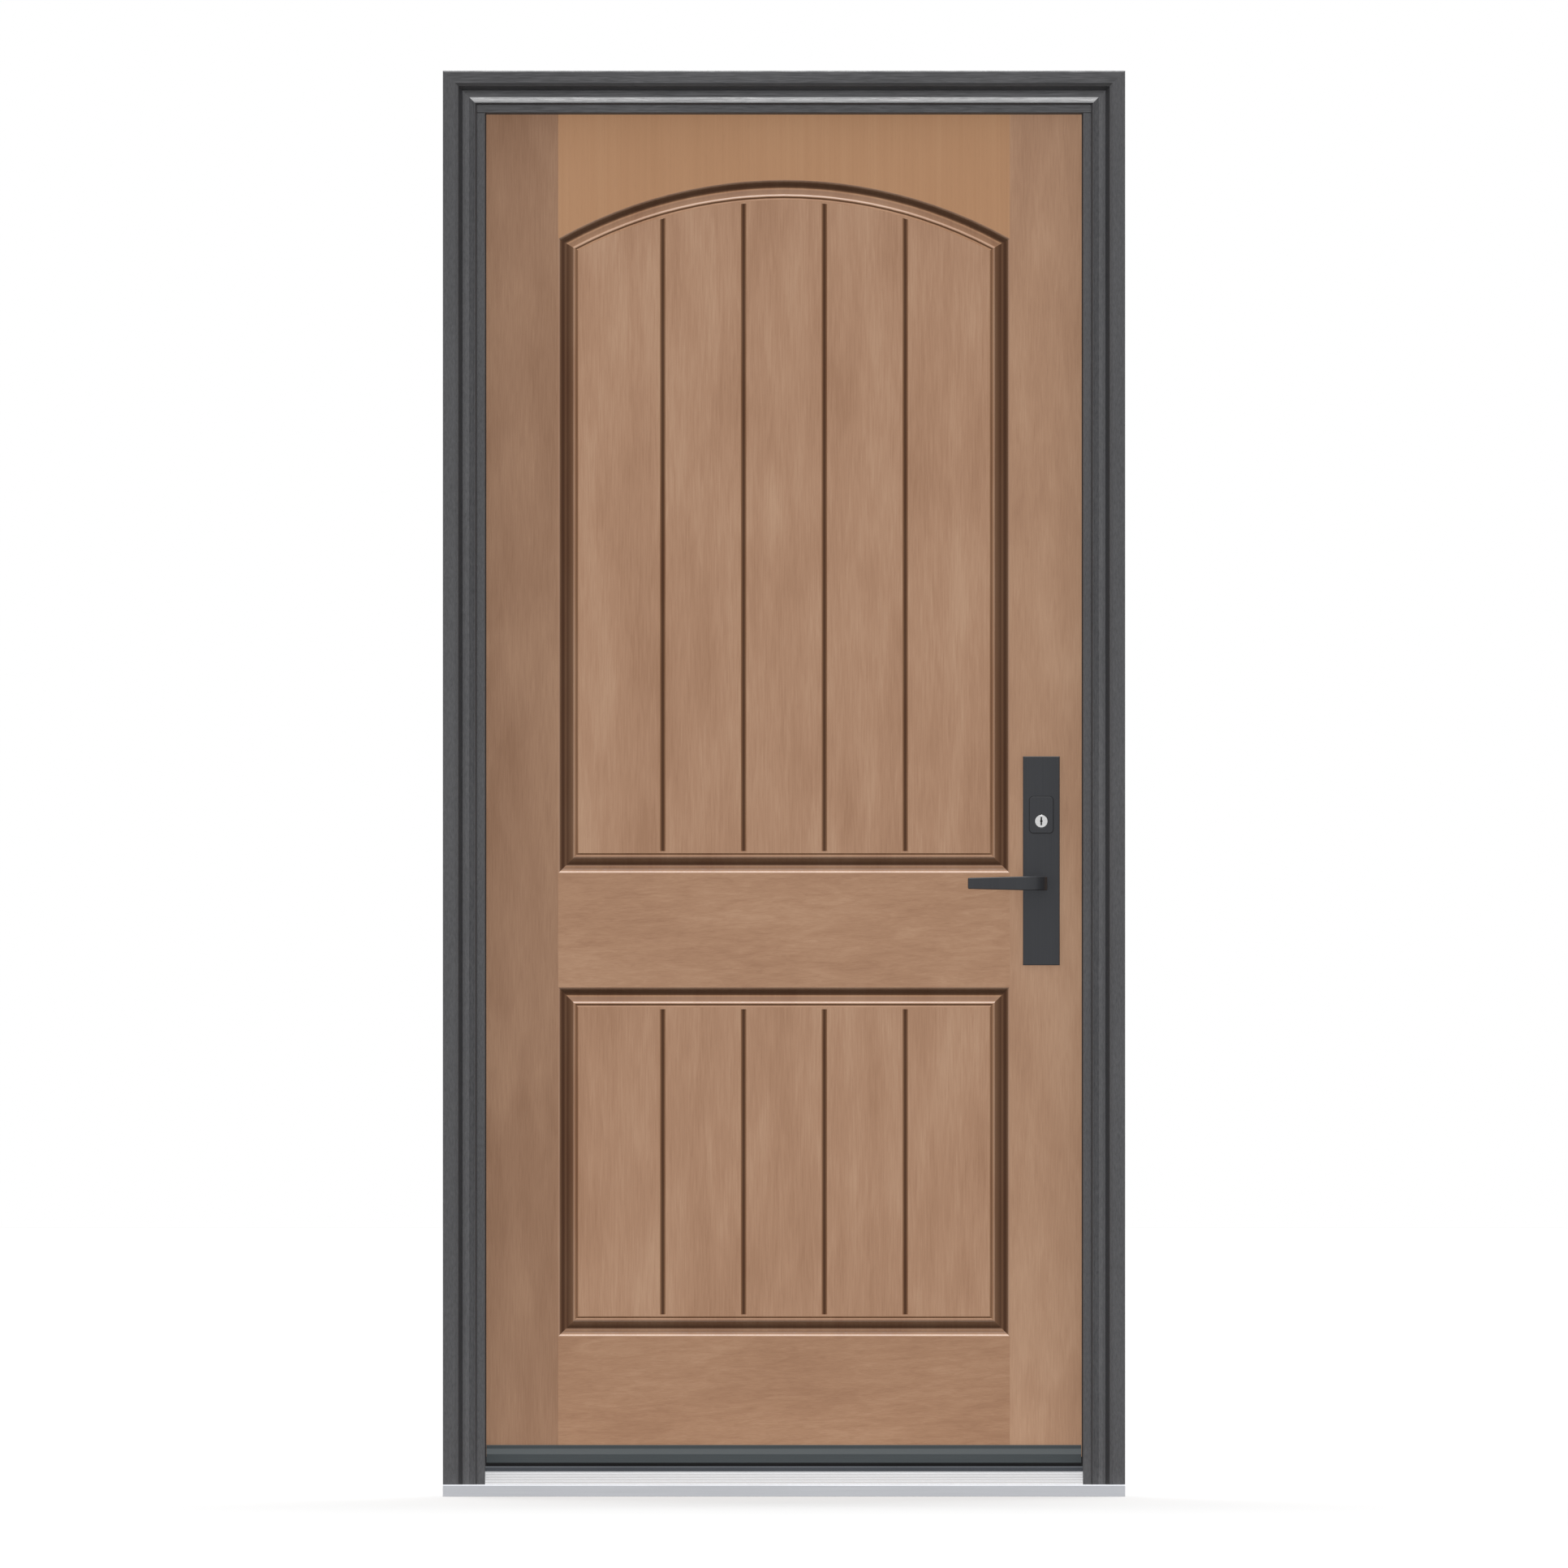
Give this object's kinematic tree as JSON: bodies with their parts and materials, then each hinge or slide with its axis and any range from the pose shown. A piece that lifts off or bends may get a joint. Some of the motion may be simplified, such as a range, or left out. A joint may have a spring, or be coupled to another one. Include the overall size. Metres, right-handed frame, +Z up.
{
  "type": "entrance door",
  "caption": "Pre-hung fiberglass entrance door: arch-top plank panels, dark clad frame with brickmould, aluminium sill, lever handle set and butt hinges; leaf, levers and key plug turn.",
  "frame": {"origin": "underside of the sill, at mid width, in the plane of the outside wall (back of the brickmould)", "axes": "+X to the right seen from outside, +Y from outside to inside, +Z up"},
  "size_m": [1.016, 0.226, 2.1228],
  "materials": {
    "fiberglass_skin": "light brown stain over embossed wood grain",
    "stile_wood": "stained edge",
    "core_foam": "foam",
    "frame_cladding": "charcoal with embossed grain",
    "sill_aluminium": "mill",
    "sill_composite": "matt",
    "riser_composite": "satin",
    "seal_rubber": "matt",
    "drip_cap_metal": "dark paint",
    "handle_metal": "satin dark coat",
    "hinge_metal": "satin dark coat",
    "lock_steel": "satin",
    "plug_metal": "satin nickel"
  },
  "bodies": {
    "frame": {"hinge_jamb": "frame_cladding", "strike_jamb": "frame_cladding", "head_jamb": "frame_cladding", "brickmould_left": "frame_cladding", "brickmould_right": "frame_cladding", "brickmould_head": "frame_cladding", "sill_deck": "sill_aluminium", "sill_substrate": "sill_composite", "threshold_riser": "riser_composite", "weatherstrip_hinge_side": "seal_rubber", "weatherstrip_strike_side": "seal_rubber", "weatherstrip_head": "seal_rubber", "hinge_jamb_leaf_upper": "hinge_metal", "hinge_jamb_leaf_middle": "hinge_metal", "hinge_jamb_leaf_lower": "hinge_metal", "hinge_pin_upper": "hinge_metal", "hinge_pin_middle": "hinge_metal", "hinge_pin_lower": "hinge_metal", "strike_plate_centre": "lock_steel", "strike_plate_upper": "lock_steel", "strike_plate_lower": "lock_steel"},
    "door": {"exterior_skin": "fiberglass_skin", "interior_skin": "fiberglass_skin", "hinge_stile": "stile_wood", "lock_stile": "stile_wood", "top_rail": "stile_wood", "bottom_rail": "stile_wood", "foam_core": "core_foam", "drip_cap": "drip_cap_metal", "door_sweep": "seal_rubber", "hinge_door_leaf_upper": "hinge_metal", "hinge_door_leaf_middle": "hinge_metal", "hinge_door_leaf_lower": "hinge_metal", "lock_faceplate": "lock_steel", "latch_bolt": "lock_steel", "deadbolt": "lock_steel", "hook_bolts": "lock_steel", "exterior_plate": "handle_metal", "interior_plate": "handle_metal", "cylinder_guard": "handle_metal"},
    "levers": {"exterior_lever": "handle_metal", "interior_lever": "handle_metal", "lever_spindle": "lock_steel"},
    "key": {"key_plug": "plug_metal", "thumbturn": "handle_metal", "cylinder_tailpiece": "lock_steel"}
  },
  "joints": [
    {"name": "door_swing", "type": "hinge", "parent": "frame", "child": "door", "pos_m": [-0.4554, 0.122, 1.06], "axis": [0, 0, 1], "range_deg": [0, 120]},
    {"name": "lever_turn", "type": "hinge", "parent": "door", "child": "levers", "pos_m": [0.3835, 0.09275, 0.9127], "axis": [0, -1, 0], "range_deg": [-45, 45], "stiffness_Nm_per_rad": 2, "springref_deg": -6.3},
    {"name": "key_turn", "type": "hinge", "parent": "door", "child": "key", "pos_m": [0.3835, 0.09275, 1.0053], "axis": [0, -1, 0], "range_deg": [-90, 0]}
  ]
}
